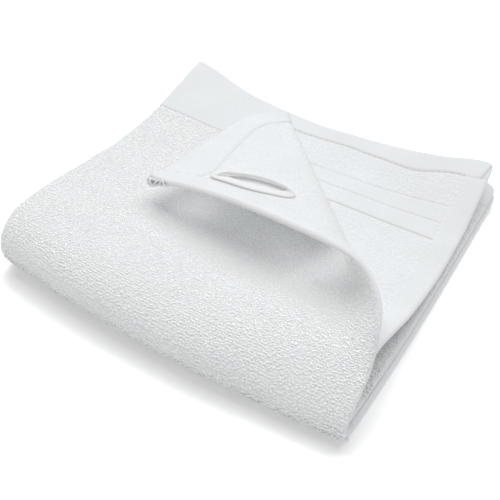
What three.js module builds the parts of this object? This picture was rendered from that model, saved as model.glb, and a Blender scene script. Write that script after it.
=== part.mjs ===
// A terry washcloth folded in quarters, with its top corner turned back to show a hanging loop.
// Millimetres, +Z up. X runs along the front fold, Y from that fold to the hemmed ends.
// The cloth is one sheet: the first fold is along the left side, the second along the front.
import * as THREE from 'three';

// The sheet and how its layers lie
const sheetThickness = 2.6;
const layerGap = 0.6;
const plyOffset = (sheetThickness + layerGap) / 2;
const restHeight = plyOffset + sheetThickness / 2;
const stackedHeight = 3 * restHeight + layerGap;
const halfSpan = 75;

// Mesh lines across and along the sheet
const innerColumns = 11;
const bendColumns = 8;
const flatColumns = 9;
const rollColumns = 12;
const flapColumns = 6;
const outerColumns = flatColumns + rollColumns + flapColumns;
const finestColumn = 0.012;
const rowSteps = [3, 3, 3, 2, 2, 2, 3, 3, 4, 4, 4, 4, 4];

// The front fold and both halves, as the line midway between the two plies: y and z at the
// left side, the middle and the right side
const foldRows = [
  { name: 'lower back', left: [75, 2.9], middle: [72.5, 2.9], right: [76, 2.9] },
  { name: 'lower half', left: [35, 2.9], middle: [34, 2.9], right: [35, 2.9] },
  { name: 'lower front', left: [-20, 2.9], middle: [-20, 2.9], right: [-20, 2.9] },
  { name: 'fold start', left: [-57, 2.9], middle: [-62, 2.9], right: [-60, 2.9] },
  { name: 'fold low', left: [-64, 4.4], middle: [-70.5, 4.2], right: [-67.2, 3.6] },
  { name: 'fold front', left: [-68, 10], middle: [-74.6, 9.0], right: [-70.4, 7.6] },
  { name: 'fold high', left: [-67, 16.8], middle: [-73, 15.5], right: [-66.4, 12.8] },
  { name: 'fold crown', left: [-60, 20.6], middle: [-63, 19.4], right: [-57, 18.6] },
  { name: 'upper front', left: [-44, 19.8], middle: [-44, 17.4], right: [-43, 22.8] },
  { name: 'upper half', left: [-22, 15.3], middle: [-20, 12.0], right: [-20, 16.8] },
  { name: 'sag', left: [8, 10.2], middle: [8, 10.2], right: [6, 12.8] },
  { name: 'rise', left: [32, 9.9], middle: [32, 9.6], right: [32, 12.4] },
  { name: 'upper back', left: [54, 12.9], middle: [53, 9.8], right: [55, 13.4] },
  { name: 'top hem', left: [75, 14.8], middle: [72.5, 10.4], right: [75, 15.8] },
];

// For the same rows, x at the left fold and where the outer and the inner ply end on the right
const sideRows = [
  { name: 'lower back', fold: -74.2, outer: 79.2, inner: 78.2 },
  { name: 'lower half', fold: -74.2, outer: 78.6, inner: 77.3 },
  { name: 'lower front', fold: -73.4, outer: 77.2, inner: 75.8 },
  { name: 'fold start', fold: -71.8, outer: 75.2, inner: 73.4 },
  { name: 'fold low', fold: -71.2, outer: 74.4, inner: 72.6 },
  { name: 'fold front', fold: -71.2, outer: 74.0, inner: 72.2 },
  { name: 'fold high', fold: -71.6, outer: 73.8, inner: 71.6 },
  { name: 'fold crown', fold: -72.6, outer: 73.4, inner: 71.4 },
  { name: 'upper front', fold: -73.6, outer: 72.6, inner: 72.0 },
  { name: 'upper half', fold: -74.2, outer: 71.6, inner: 74.4 },
  { name: 'sag', fold: -74.2, outer: 71.0, inner: 75.8 },
  { name: 'rise', fold: -74.2, outer: 70.4, inner: 76.0 },
  { name: 'upper back', fold: -74.2, outer: 70.0, inner: 75.4 },
  { name: 'top hem', fold: -74.2, outer: 69.8, inner: 74.2 },
];
const frontRow = 5;
const crownRow = 7;
const slopeStep = 0.02;
const searchSteps = 22;
const pastLastRow = 0.4;

// Where single corners of the stack rise, in the lower or the upper half
const rises = [
  { name: 'back right corner', x: 66, y: 79, radius: 50, height: 7.0, half: 'upper' },
  { name: 'back hem wave', x: 30, y: 78, radius: 36, height: 1.9, half: 'upper' },
  { name: 'back right under it', x: 62, y: 80, radius: 26, height: 8.5, half: 'lower' },
  { name: 'back left corner', x: -76, y: 78, radius: 30, height: 1.6, half: 'upper' },
];

// The turned-back corner: a sheet rolled on a cone whose tip lies past the back hem
const rollTip = [-53.5, 102.4];
const rollStart = -0.94;
const rollBend = 13.97;
const rollSpan = 0.207;
const rollSoftness = 0.01;
const flapBend = 1.14;
const rollMargin = 0.03;
const rayStep = 0.002;
const rayLead = 0.08;
const raySpread = 1.1;
const cornerPull = { y: 5.5, fromX: -45, toX: 70, fromY: -30, toY: 75 };
const hemDip = { x: -27, y: 76, radius: 40, by: -4.8 };

// The hanging loop, a tape sewn where the two hems cross and lying on the turned-back face.
// Its strand by the side hem lies flat, the other stands on edge.
const loopSewnFromSide = 12;
const loopSewnFromEnd = 29;
const loopLength = 30.5;
const loopHoleWidth = 5.4;
const loopTurn = -1.79;
const tapeWidth = 3.6;
const tapeThickness = 1.3;
const tapeTwist = 1.25;
const tapeTwists = { from: 0.36, full: 0.6, leaves: 0.86, flat: 1 };
const loopFullness = { sewn: 0.45, end: 1.1, reached: 0.6 };
const loopClearance = 0.4;
const flapStep = 0.5;
const loopSteps = 48;
const tapeSides = 8;
const tapeStep = 0.001;

const clothColour = 0xf4f5f3;
const loopColour = 0xf7f7f6;

function smoothStep(value, start, end) {
  const t = Math.min(1, Math.max(0, (value - start) / (end - start)));
  return t * t * (3 - 2 * t);
}

// A curve through four values, between the second and the third
function throughPoints(a, b, c, d, t) {
  const linear = c - a;
  const square = 2 * a - 5 * b + 4 * c - d;
  const cube = 3 * b - a - 3 * c + d;
  return 0.5 * (2 * b + linear * t + square * t * t + cube * t * t * t);
}

// Reads a value of the rows at a row position that may lie between rows
function alongRows(read, position) {
  const last = foldRows.length - 1;
  const row = Math.min(last - 1, Math.max(0, Math.floor(position)));
  const b = read(row);
  const c = read(row + 1);
  const a = row > 0 ? read(row - 1) : 2 * b - c;
  const d = row + 2 <= last ? read(row + 2) : 2 * c - b;
  return throughPoints(a, b, c, d, position - row);
}

// The fold line at one place across: a parabola through the left, middle and right values
function acrossStations(row, x, axis) {
  const q = x / halfSpan;
  const left = (q * (q - 1)) / 2;
  const right = (q * (q + 1)) / 2;
  return left * row.left[axis] + (1 - q * q) * row.middle[axis] + right * row.right[axis];
}

function foldLine(position, x) {
  const y = alongRows((row) => acrossStations(foldRows[row], x, 0), position);
  const z = alongRows((row) => acrossStations(foldRows[row], x, 1), position);
  const floor = position > crownRow ? stackedHeight - restHeight : restHeight;
  return [y, Math.max(z, floor)];
}

function riseAt(x, y, half) {
  let total = 0;
  for (const rise of rises) {
    const reach = Math.hypot(x - rise.x, y - rise.y) / rise.radius;
    if (rise.half === half && reach < 1) {
      total += rise.height * (1 - reach * reach) ** 2;
    }
  }
  return total;
}

// A point of the folded sheet before its corner is turned back; offset is how far its layer lies
// outside the line midway between the plies
function laidPoint(position, x, offset) {
  const [y, z] = foldLine(position, x);
  const [yAfter, zAfter] = foldLine(position + slopeStep, x);
  const [yBefore, zBefore] = foldLine(position - slopeStep, x);
  const run = Math.hypot(yAfter - yBefore, zAfter - zBefore);
  const outY = -(zAfter - zBefore) / run;
  const outZ = (yAfter - yBefore) / run;
  const half = position > frontRow ? 'upper' : 'lower';
  const point = new THREE.Vector3(x, y + offset * outY, z + offset * outZ);
  point.z += riseAt(point.x, point.y, half);
  return point;
}

// The height of the top layer under a place on the plan
function topLayerHeight(x, y) {
  let low = crownRow;
  let high = foldRows.length - 1 + pastLastRow;
  for (let i = 0; i < searchSteps; i += 1) {
    const middle = (low + high) / 2;
    if (foldLine(middle, x)[0] < y) {
      low = middle;
    } else {
      high = middle;
    }
  }
  return foldLine(low, x)[1] + plyOffset + riseAt(x, y, 'upper');
}

function rollBendAt(turn) {
  const start = 1 / (1 + Math.exp(-turn / rollSoftness));
  const end = 1 / (1 + Math.exp(-(turn - rollSpan) / rollSoftness));
  return rollBend * (start - end) + flapBend * end;
}

// Directions of the straight lines of the rolled sheet, from flat through the roll to the flap
function rollRays() {
  const angle = rollStart - rayLead;
  const ray = new THREE.Vector3(Math.cos(angle), Math.sin(angle), 0);
  const side = new THREE.Vector3(-Math.sin(angle), Math.cos(angle), 0);
  const rays = [ray.clone()];
  for (let turn = -rayLead; turn < raySpread; turn += rayStep) {
    const up = new THREE.Vector3().crossVectors(ray, side);
    const bend = rollBendAt(turn + rayStep / 2);
    const nextSide = side.clone().addScaledVector(up, bend * rayStep).addScaledVector(ray, -rayStep);
    ray.addScaledVector(side, rayStep).normalize();
    side.copy(nextSide).addScaledVector(ray, -nextSide.dot(ray)).normalize();
    rays.push(ray.clone());
  }
  return rays;
}

const rays = rollRays();

// Carries a point of the flat top layer onto the cone roll and lays it over the stack
function turnedBack(x, y) {
  const alongX = x - rollTip[0];
  const alongY = y - rollTip[1];
  const reach = Math.hypot(alongX, alongY);
  const turn = Math.atan2(alongY, alongX) - rollStart;
  if (turn < -rayLead) {
    return new THREE.Vector3(x, y, topLayerHeight(x, y));
  }
  const place = Math.min(rays.length - 1.001, (turn + rayLead) / rayStep);
  const index = Math.floor(place);
  const ray = rays[index].clone().lerp(rays[index + 1], place - index).normalize();
  const point = new THREE.Vector3(rollTip[0], rollTip[1], 0).addScaledVector(ray, reach);
  point.z += topLayerHeight(point.x, point.y);
  return point;
}

function pulledY(x, y) {
  const { fromX, toX, fromY, toY } = cornerPull;
  const across = Math.max(0, (x - fromX) / (toX - fromX));
  const along = Math.max(0, (y - fromY) / (toY - fromY));
  const reach = Math.min(1, Math.hypot(x - hemDip.x, y - hemDip.y) / hemDip.radius);
  return y + cornerPull.y * across * along * along + hemDip.by * (1 - reach * reach) ** 2;
}

function topLayerPoint(position, x) {
  const flat = laidPoint(position, x, plyOffset);
  if (position <= crownRow) {
    return flat;
  }
  const pulled = pulledY(flat.x, flat.y);
  const turned = turnedBack(flat.x, pulled);
  const blend = smoothStep(position, crownRow, crownRow + 1);
  return flat.lerp(turned, blend);
}

// Where the mesh lines of the outer ply stand across a row: they gather on the roll
function outerFractions(position, bendX, edgeX) {
  const width = edgeX - bendX;
  const y = pulledY(halfSpan / 2, foldLine(position, halfSpan / 2)[0]);
  const drop = rollTip[1] - y;
  const firstX = rollTip[0] + drop / Math.tan(-rollStart + rollMargin);
  const lastX = rollTip[0] + drop / Math.tan(-rollStart - rollSpan - rollMargin);
  const lastMost = 1 - flapColumns * finestColumn;
  const last = Math.min(lastMost, (lastX - bendX) / width);
  const first = Math.min(last - rollColumns * finestColumn, (firstX - bendX) / width);
  const gather = smoothStep(position, crownRow - 1, crownRow + 1.5);
  const fractions = [];
  for (let i = 1; i <= outerColumns; i += 1) {
    let gathered = (first * i) / flatColumns;
    if (i > flatColumns) {
      gathered = first + ((last - first) * (i - flatColumns)) / rollColumns;
    }
    if (i > flatColumns + rollColumns) {
      gathered = last + ((1 - last) * (i - flatColumns - rollColumns)) / flapColumns;
    }
    fractions.push(THREE.MathUtils.lerp(i / outerColumns, gathered, gather));
  }
  return fractions;
}

// One row of the sheet's middle surface, from the inner ply round the left fold to the outer ply
function sheetRow(position) {
  const row = [];
  const innerEdge = alongRows((entry) => sideRows[entry].inner, position);
  const outerEdge = alongRows((entry) => sideRows[entry].outer, position);
  const bendX = alongRows((entry) => sideRows[entry].fold, position) + plyOffset;
  for (let i = 0; i < innerColumns; i += 1) {
    const x = THREE.MathUtils.lerp(innerEdge, bendX, i / innerColumns);
    row.push(laidPoint(position, x, -plyOffset));
  }
  for (let i = 0; i <= bendColumns; i += 1) {
    const turn = Math.PI * (i / bendColumns - 0.5);
    const x = bendX - plyOffset * Math.cos(turn);
    row.push(laidPoint(position, x, plyOffset * Math.sin(turn)));
  }
  for (const fraction of outerFractions(position, bendX, outerEdge)) {
    const x = THREE.MathUtils.lerp(bendX, outerEdge, fraction);
    row.push(topLayerPoint(position, x));
  }
  return row;
}

function sheetRows() {
  const rows = [];
  rowSteps.forEach((steps, row) => {
    for (let i = 0; i < steps; i += 1) {
      rows.push(sheetRow(row + i / steps));
    }
  });
  rows.push(sheetRow(rowSteps.length));
  return rows;
}

// Unit normals of a grid of points, from the cross product of its two directions
function gridNormals(rows) {
  const lastRow = rows.length - 1;
  const lastColumn = rows[0].length - 1;
  return rows.map((row, r) => row.map((_, c) => {
    const after = rows[Math.min(lastRow, r + 1)][c];
    const before = rows[Math.max(0, r - 1)][c];
    const right = row[Math.min(lastColumn, c + 1)];
    const left = row[Math.max(0, c - 1)];
    const along = new THREE.Vector3().subVectors(after, before);
    const across = new THREE.Vector3().subVectors(right, left);
    return across.cross(along).normalize();
  }));
}

function closedGeometry(points, faces) {
  const geometry = new THREE.BufferGeometry();
  const positions = points.flatMap((point) => [point.x, point.y, point.z]);
  geometry.setAttribute('position', new THREE.Float32BufferAttribute(positions, 3));
  geometry.setIndex(faces.flat());
  geometry.computeVertexNormals();
  return geometry;
}

// The places round the edge of a grid, as row and column
function gridRim(lastRow, lastColumn) {
  const rim = [];
  for (let c = 0; c < lastColumn; c += 1) {
    rim.push([0, c]);
  }
  for (let r = 0; r < lastRow; r += 1) {
    rim.push([r, lastColumn]);
  }
  for (let c = lastColumn; c > 0; c -= 1) {
    rim.push([lastRow, c]);
  }
  for (let r = lastRow; r > 0; r -= 1) {
    rim.push([r, 0]);
  }
  return rim;
}

// Gives a grid of points its thickness: two faces, half a thickness each way, and a rim
function thickSheet(rows) {
  const normals = gridNormals(rows);
  const rowCount = rows.length;
  const columnCount = rows[0].length;
  const points = [];
  for (const side of [1, -1]) {
    rows.forEach((row, r) => row.forEach((point, c) => {
      points.push(point.clone().addScaledVector(normals[r][c], (side * sheetThickness) / 2));
    }));
  }
  const upper = (r, c) => r * columnCount + c;
  const lower = (r, c) => rowCount * columnCount + upper(r, c);
  const faces = [];
  for (let r = 0; r < rowCount - 1; r += 1) {
    for (let c = 0; c < columnCount - 1; c += 1) {
      faces.push([upper(r, c), upper(r, c + 1), upper(r + 1, c + 1)]);
      faces.push([upper(r, c), upper(r + 1, c + 1), upper(r + 1, c)]);
      faces.push([lower(r, c), lower(r + 1, c + 1), lower(r, c + 1)]);
      faces.push([lower(r, c), lower(r + 1, c), lower(r + 1, c + 1)]);
    }
  }
  const rim = gridRim(rowCount - 1, columnCount - 1);
  rim.forEach(([r, c], i) => {
    const [nextR, nextC] = rim[(i + 1) % rim.length];
    faces.push([upper(r, c), lower(r, c), lower(nextR, nextC)]);
    faces.push([upper(r, c), lower(nextR, nextC), upper(nextR, nextC)]);
  });
  return closedGeometry(points, faces);
}

// A point above the turned-back face, from its place on the flat cloth
function aboveFlap(x, y, height) {
  const along = turnedBack(x, y + flapStep).sub(turnedBack(x, y - flapStep));
  const across = turnedBack(x + flapStep, y).sub(turnedBack(x - flapStep, y));
  const face = along.cross(across).normalize();
  return turnedBack(x, y).addScaledVector(face, height);
}

// How far the tape has turned on edge at a place round the loop
function tapeTurn(t) {
  const { from, full, leaves, flat } = tapeTwists;
  return tapeTwist * smoothStep(t, from, full) * (1 - smoothStep(t, leaves, flat));
}

// Half the tape's extent along and across its own face direction, for a turned oval
function tapeReach(t) {
  const turn = tapeTurn(t);
  const across = Math.hypot((tapeWidth / 2) * Math.cos(turn), (tapeThickness / 2) * Math.sin(turn));
  const upright = Math.hypot((tapeWidth / 2) * Math.sin(turn), (tapeThickness / 2) * Math.cos(turn));
  return { across, upright };
}

// The loop's path on the flat cloth: a drop shape, narrow where it is sewn and round at its end
function loopPath(t) {
  const turn = 2 * Math.PI * t;
  const along = (loopLength / 2) * (1 - Math.cos(turn));
  const reached = smoothStep(along / loopLength, 0, loopFullness.reached);
  const fullness = THREE.MathUtils.lerp(loopFullness.sewn, loopFullness.end, reached);
  const aside = (loopHoleWidth / 2) * fullness + tapeReach(t).across;
  return [along, aside * Math.sin(turn)];
}

function loopPoint(t, height) {
  const [along, aside] = loopPath(t);
  const last = foldRows.length - 1;
  const sewnX = sideRows[last].outer - loopSewnFromSide;
  const sewnY = foldRows[last].right[0] + cornerPull.y - loopSewnFromEnd;
  const x = sewnX + along * Math.cos(loopTurn) - aside * Math.sin(loopTurn);
  const y = sewnY + along * Math.sin(loopTurn) + aside * Math.cos(loopTurn);
  return aboveFlap(x, y, height);
}

// One turned section of the tape, a flat oval round the path
function tapeSection(t) {
  const height = sheetThickness / 2 + loopClearance + tapeReach(t).upright;
  const centre = loopPoint(t, height);
  const up = loopPoint(t, height + 1).sub(centre).normalize();
  const after = loopPoint(t + tapeStep, height);
  const ahead = after.sub(loopPoint(t - tapeStep, height)).normalize();
  const aside = new THREE.Vector3().crossVectors(ahead, up).normalize();
  const turn = tapeTurn(t);
  const wide = aside.clone().multiplyScalar(Math.cos(turn)).addScaledVector(up, Math.sin(turn));
  const thin = new THREE.Vector3().crossVectors(wide, ahead).normalize();
  const section = [];
  for (let k = 0; k < tapeSides; k += 1) {
    const angle = (2 * Math.PI * (k + 0.5)) / tapeSides;
    const point = centre.clone();
    point.addScaledVector(wide, (tapeWidth / 2) * Math.cos(angle));
    point.addScaledVector(thin, (tapeThickness / 2) * Math.sin(angle));
    section.push(point);
  }
  return section;
}

// The tape runs round the path and meets itself where it is sewn
function loopGeometry() {
  const points = [];
  const faces = [];
  for (let i = 0; i < loopSteps; i += 1) {
    points.push(...tapeSection((i + 0.5) / loopSteps));
  }
  for (let i = 0; i < loopSteps; i += 1) {
    const next = ((i + 1) % loopSteps) * tapeSides;
    for (let k = 0; k < tapeSides; k += 1) {
      const a = i * tapeSides + k;
      const b = i * tapeSides + ((k + 1) % tapeSides);
      const c = next + ((k + 1) % tapeSides);
      const d = next + k;
      faces.push([a, c, b], [a, d, c]);
    }
  }
  return closedGeometry(points, faces);
}

function namedMesh(name, geometry, color, roughness) {
  const material = new THREE.MeshStandardMaterial({ color, roughness, metalness: 0 });
  const mesh = new THREE.Mesh(geometry, material);
  mesh.name = name;
  return mesh;
}

// Moves the whole cloth so that the middle of its box stands over the origin
function centred(group) {
  const box = new THREE.Box3().setFromObject(group);
  const middle = box.getCenter(new THREE.Vector3());
  group.position.set(-middle.x, -middle.y, -box.min.z);
  return group;
}

const washcloth = new THREE.Group();
washcloth.add(namedMesh('cloth', thickSheet(sheetRows()), clothColour, 0.95));
washcloth.add(namedMesh('hanging_loop', loopGeometry(), loopColour, 0.8));

export default centred(washcloth);
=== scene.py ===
import math

import bpy
import numpy as np
from mathutils import Matrix


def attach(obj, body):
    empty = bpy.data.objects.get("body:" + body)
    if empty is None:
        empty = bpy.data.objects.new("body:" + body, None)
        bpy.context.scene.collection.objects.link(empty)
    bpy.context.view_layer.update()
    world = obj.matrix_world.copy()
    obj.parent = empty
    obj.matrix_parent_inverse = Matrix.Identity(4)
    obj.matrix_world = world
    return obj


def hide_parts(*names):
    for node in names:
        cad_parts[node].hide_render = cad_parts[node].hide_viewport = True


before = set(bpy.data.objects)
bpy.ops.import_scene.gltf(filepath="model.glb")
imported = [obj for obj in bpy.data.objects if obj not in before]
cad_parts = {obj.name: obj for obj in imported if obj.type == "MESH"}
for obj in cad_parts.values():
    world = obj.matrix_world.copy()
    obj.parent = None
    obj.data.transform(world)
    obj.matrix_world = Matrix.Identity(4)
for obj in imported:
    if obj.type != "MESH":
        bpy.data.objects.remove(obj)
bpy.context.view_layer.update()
mm = 0.001
dice = np.random.default_rng(11)

# The folded cloth, in millimetres. Rows run from the lower back edge round the front fold to the
# upper one, and each has its height and place at three stations across.
cloth = {
    "flat": 300,  # side of the cut, as it lies unfolded
    "layer": 2.6,  # one layer with its pile pressed
    "gap": 0.6,  # between two layers
    "innerWidth": 149.0,  # from the side edge to the left fold, on the inner and the outer ply
    "outerWidth": 146.0,
    "halfSpan": 75,  # the three stations stand at -75, 0 and 75
    "frontRow": 5,
    "crownRow": 7,
    "unevenness": 0.22,  # how far the cloth waves in and out of its smooth form
    "waves": [(31, 0.4, 0.0), (23, 1.9, 1.1), (41, 2.6, 2.3), (17, 1.2, 4.0)],  # length, way, phase
    "offFloor": (100, 130),  # along the cloth, where it leaves the floor
}
foldRows = {
    "leftY": [75, 35, -20, -57, -64, -68, -67, -60, -44, -22, 8, 32, 54, 75],
    "leftZ": [2.9, 2.9, 2.9, 2.9, 4.4, 10, 16.8, 20.6, 19.8, 15.3, 10.2, 9.9, 12.9, 14.8],
    "middleY": [72.5, 34, -20, -62, -70.5, -74.6, -73, -63, -44, -20, 8, 32, 53, 72.5],
    "middleZ": [2.9, 2.9, 2.9, 2.9, 4.2, 9.0, 15.5, 19.4, 17.4, 12.0, 10.2, 9.6, 9.8, 10.4],
    "rightY": [76, 35, -20, -60, -67.2, -70.4, -66.4, -57, -43, -20, 6, 32, 55, 75],
    "rightZ": [2.9, 2.9, 2.9, 2.9, 3.6, 7.6, 12.8, 18.6, 22.8, 16.8, 12.8, 12.4, 13.4, 15.8],
    "fold": [-74.2, -74.2, -73.4, -71.8, -71.2, -71.2, -71.6,
             -72.6, -73.6, -74.2, -74.2, -74.2, -74.2, -74.2],
    "outer": [79.2, 78.6, 77.2, 75.2, 74.4, 74.0, 73.8, 73.4, 72.6, 71.6, 71.0, 70.4, 70.0, 69.8],
    "inner": [78.2, 77.3, 75.8, 73.4, 72.6, 72.2, 71.6, 71.4, 72.0, 74.4, 75.8, 76.0, 75.4, 74.2],
}
rises = [
    {"x": 66, "y": 79, "radius": 50, "height": 7.0, "half": "upper"},  # back right corner
    {"x": 30, "y": 78, "radius": 36, "height": 1.9, "half": "upper"},  # wave of the back hem
    {"x": 62, "y": 80, "radius": 26, "height": 8.5, "half": "lower"},  # layers under that corner
    {"x": -76, "y": 78, "radius": 30, "height": 1.6, "half": "upper"},  # back left corner
]
turnedCorner = {
    "tip": (-53.5, 102.4),  # where the cone's straight lines meet, past the back hem
    "start": -0.94,  # the line where the roll starts, in radians round the tip
    "bend": 13.97,  # of the roll, and over how many radians
    "span": 0.207,
    "softness": 0.01,
    "flapBend": 1.14,  # of the flap past the roll
    "step": 0.002,
    "lead": 0.08,
    "spread": 1.1,
    "pull": {"y": 5.5, "fromX": -45, "toX": 70, "fromY": -30, "toY": 75},
    "dip": {"x": -27, "y": 76, "radius": 40, "by": -4.8},
    "press": {"x": -23, "y": 66, "radius": 30, "above": 3.6, "keep": 0.3},  # flatter at the hem
}
hems = {
    "side": 9.5,  # width of the side hem
    "start": 11,  # the hem at the lower end
    "endOuter": 33.3,  # the smooth end border of the outer face
    "endInner": 11,  # the end hem of the inner face, before it is drawn in
    "bandLines": (27.5, 36.2, 45.5),  # border lines on the second layer, from its end
    "groundHalf": 0.75,  # half thickness of the ground weave under the loops
    "hemHalf": 1.15,
    "bandHalf": 0.95,
    "softEdge": 0.3,  # half the width of a zone's soft edge
    "grooveDepth": 0.38,
    "grooveWidth": 0.42,
    "sideFaint": 0.6,  # how much fainter the side hem's line is on the second layer
    "edgeRound": 1.3,
    "cornerRound": 4.0,  # radius of the cloth's corners as seen from above
    "cornerSwell": {-1: 0.75, 1: 1.4},  # where both hems cross, more on inner and on outer face
    "cornerReach": 8.0,
    # A sewn line beside each upper corner: how far from the side edge, and how much more each mm
    "cornerSeam": {"turned": (2.4, -0.22), "under": (2.6, 0.0), "second": (0.0, 0.23)},
    "seamLength": 12,
    "seamDepth": 2.4,
    "mouth": (1.5, 1.0, 12.0),  # open end of the folded hem: depth, and from where to where
    "pinch": (2.0, 0.55, 1.1),  # the last stitch: from both edges, its radius and depth
    # Painted shade: how far each mark darkens the hem cloth's colour towards grey, in sewn lines, corner
    # seam, last stitch and open mouth
    "shade": {"groove": 0.07, "seam": 0.5, "pinch": 0.75, "mouth": {1: 0.42, -1: 0.15}},
}
# How far the upper end is drawn in: distances from the side edge, and by how much at each
drawnIn = {
    "edge": ((0, 9, 21, 30, 38, 52), (0, 0.1, 2.8, 2.8, 2.1, 0)),  # the second layer's edge
    "seam": ((0, 2.7, 7.4, 12.6, 21.5, 29.4, 38, 48, 64.5, 76, 90, 110),  # and its seam
             (-3, 0.8, -0.2, -0.6, 0.6, 2.9, 1.8, -0.6, -2.4, -1.9, -0.7, 0)),
    "fades": 27,
    "turned": ((3, 12.5, 54, 75), (0, 10, 0.5, 0)),  # the same seam on the turned-back corner
    "turnedFades": 45,
    "roll": (211, 8, 4, 30),  # the edge at the back of the roll: where, how wide, how far, fade
}
lattice = {  # spacing of the sheet's lines
    "edge": [(0.12, 0.12), (0.4, 0.28), (1.2, 0.4), (2.8, 0.32)],  # up to where, and how close
    "hem": 1.2,
    "border": 1.4,
    "beside": 0.9,  # how far a sewn line's close lines reach to either side of it
    "sewn": 0.22,
    "across": 2.2,
    "along": 2.0,
    "bend": 0.7,
    "bendReach": 1.5,
}
plyOffset = (cloth["layer"] + cloth["gap"]) / 2
restHeight = plyOffset + cloth["layer"] / 2
stackedHeight = 3 * restHeight + cloth["gap"]
lastRow = len(foldRows["fold"]) - 1
innerWidth = cloth["innerWidth"]
bendLength = math.pi * plyOffset
fullWidth = innerWidth + bendLength + cloth["outerWidth"]


def smoothStep(value, start, end):  # 0 before start, 1 after end, 3t^2 - 2t^3 between
    t = np.clip((value - start) / (end - start), 0, 1)
    return t * t * (3 - 2 * t)


def bump(reach):  # (1 - reach^2)^2, which is 1 in the middle and 0 from reach 1 on
    return (1 - np.minimum(1, reach) ** 2) ** 2


def trough(distance, width=hems["grooveWidth"]):  # e to the minus square of distance over width
    return np.exp(-((distance / width) ** 2))


def alongRows(column, position):  # a cubic through the column's values, Catmull and Rom's
    values = np.asarray(foldRows[column], float)
    before, after = 2 * values[0] - values[1], 2 * values[-1] - values[-2]
    padded = np.concatenate([[before], values, [after]])
    row = np.clip(np.floor(position), 0, lastRow - 1).astype(int)
    t = position - row
    a, b, c, d = (padded[row + k] for k in range(4))
    square = (2 * a - 5 * b + 4 * c - d) * t**2
    cube = (3 * b - a - 3 * c + d) * t**3
    return 0.5 * (2 * b + (c - a) * t + square + cube)


def foldLine(position, x):  # the line between the plies: a parabola across, through the stations
    q = x / cloth["halfSpan"]
    weights = {"left": q * (q - 1) / 2, "middle": 1 - q * q, "right": q * (q + 1) / 2}
    y = sum(w * alongRows(side + "Y", position) for side, w in weights.items())
    z = sum(w * alongRows(side + "Z", position) for side, w in weights.items())
    lowest = np.where(position > cloth["crownRow"], stackedHeight - restHeight, restHeight)
    return y, np.maximum(z, lowest)


def riseAt(x, y, half):  # the sum of the rises, each its height times bump
    total = np.zeros(np.broadcast(x, y).shape)
    for rise in rises:
        if rise["half"] == half:
            reach = np.hypot(x - rise["x"], y - rise["y"]) / rise["radius"]
            total += rise["height"] * bump(reach)
    return total


def laidPoint(position, x, offset):  # the fold line, moved out by the offset along its normal
    step = 0.02
    y, z = foldLine(position, x)
    yAfter, zAfter = foldLine(position + step, x)
    yBefore, zBefore = foldLine(position - step, x)
    run = np.hypot(yAfter - yBefore, zAfter - zBefore)
    y = y - offset * (zAfter - zBefore) / run
    z = z + offset * (yAfter - yBefore) / run
    upper = position > cloth["frontRow"]
    z = z + np.where(upper, riseAt(x, y, "upper"), riseAt(x, y, "lower"))
    return np.stack([x + 0 * y, y, z], -1)


def topLayerHeight(x, y):  # halves the range of rows until the row over the place is found
    low = np.full(x.shape, float(cloth["crownRow"]))
    high = np.full(x.shape, lastRow + 0.4)
    for _ in range(22):
        between = (low + high) / 2
        behind = foldLine(between, x)[0] < y
        low = np.where(behind, between, low)
        high = np.where(behind, high, between)
    return foldLine(low, x)[1] + plyOffset + riseAt(x, y, "upper")


def rollRays():  # the cone's straight lines turn about the tip, by the roll's bend at each step
    corner = turnedCorner
    angle = corner["start"] - corner["lead"]
    ray = np.array([math.cos(angle), math.sin(angle), 0])
    side = np.array([-math.sin(angle), math.cos(angle), 0])
    found = [ray]
    turns = np.arange(-corner["lead"], corner["spread"], corner["step"]) + corner["step"] / 2
    for turn in turns:
        start = 1 / (1 + math.exp(-turn / corner["softness"]))
        end = 1 / (1 + math.exp(min(50, -(turn - corner["span"]) / corner["softness"])))
        bend = corner["bend"] * (start - end) + corner["flapBend"] * end
        nextSide = side + bend * corner["step"] * np.cross(ray, side) - corner["step"] * ray
        ray = ray + corner["step"] * side
        ray = ray / np.linalg.norm(ray)
        side = nextSide - ray * np.dot(nextSide, ray)
        side = side / np.linalg.norm(side)
        found.append(ray)
    return np.array(found)


rays = rollRays()


def turnOf(x, y):  # how far round the tip a place lies, from where the roll starts
    tipX, tipY = turnedCorner["tip"]
    return np.arctan2(y - tipY, x - tipX) - turnedCorner["start"]


def turnedBack(x, y):
    # The flat corner carried on to the cone: as far from the tip as before, along the line that
    # its turn picks. Pressed at the hem by a smooth cap, then lifted by the layer under it.
    tipX, tipY = turnedCorner["tip"]
    reach = np.hypot(x - tipX, y - tipY)
    turn = turnOf(x, y)
    flat = turn < -turnedCorner["lead"]
    place = np.clip((turn + turnedCorner["lead"]) / turnedCorner["step"], 0, len(rays) - 1.001)
    index = np.floor(place).astype(int)
    part = (place - index)[..., None]
    ray = unit(rays[index] * (1 - part) + rays[index + 1] * part)
    point = ray * reach[..., None] + np.array([tipX, tipY, 0])
    point = np.where(flat[..., None], np.stack([x, y, 0 * x], -1), point)
    press = turnedCorner["press"]
    near = np.hypot(point[..., 0] - press["x"], point[..., 1] - press["y"]) / press["radius"]
    over = point[..., 2] - press["above"]
    over = (over + np.sqrt(over * over + 1)) / 2
    point[..., 2] -= over * (1 - press["keep"]) * bump(near)
    point[..., 2] += topLayerHeight(point[..., 0], point[..., 1])
    return point


def pulledY(x, y):  # the corner's stretch towards the back, linear by squared, and its hem's dip
    pull, dip = turnedCorner["pull"], turnedCorner["dip"]
    across = np.maximum(0, (x - pull["fromX"]) / (pull["toX"] - pull["fromX"]))
    along = np.maximum(0, (y - pull["fromY"]) / (pull["toY"] - pull["fromY"]))
    reach = np.hypot(x - dip["x"], y - dip["y"]) / dip["radius"]
    return y + pull["y"] * across * along**2 + dip["by"] * bump(reach)


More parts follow.
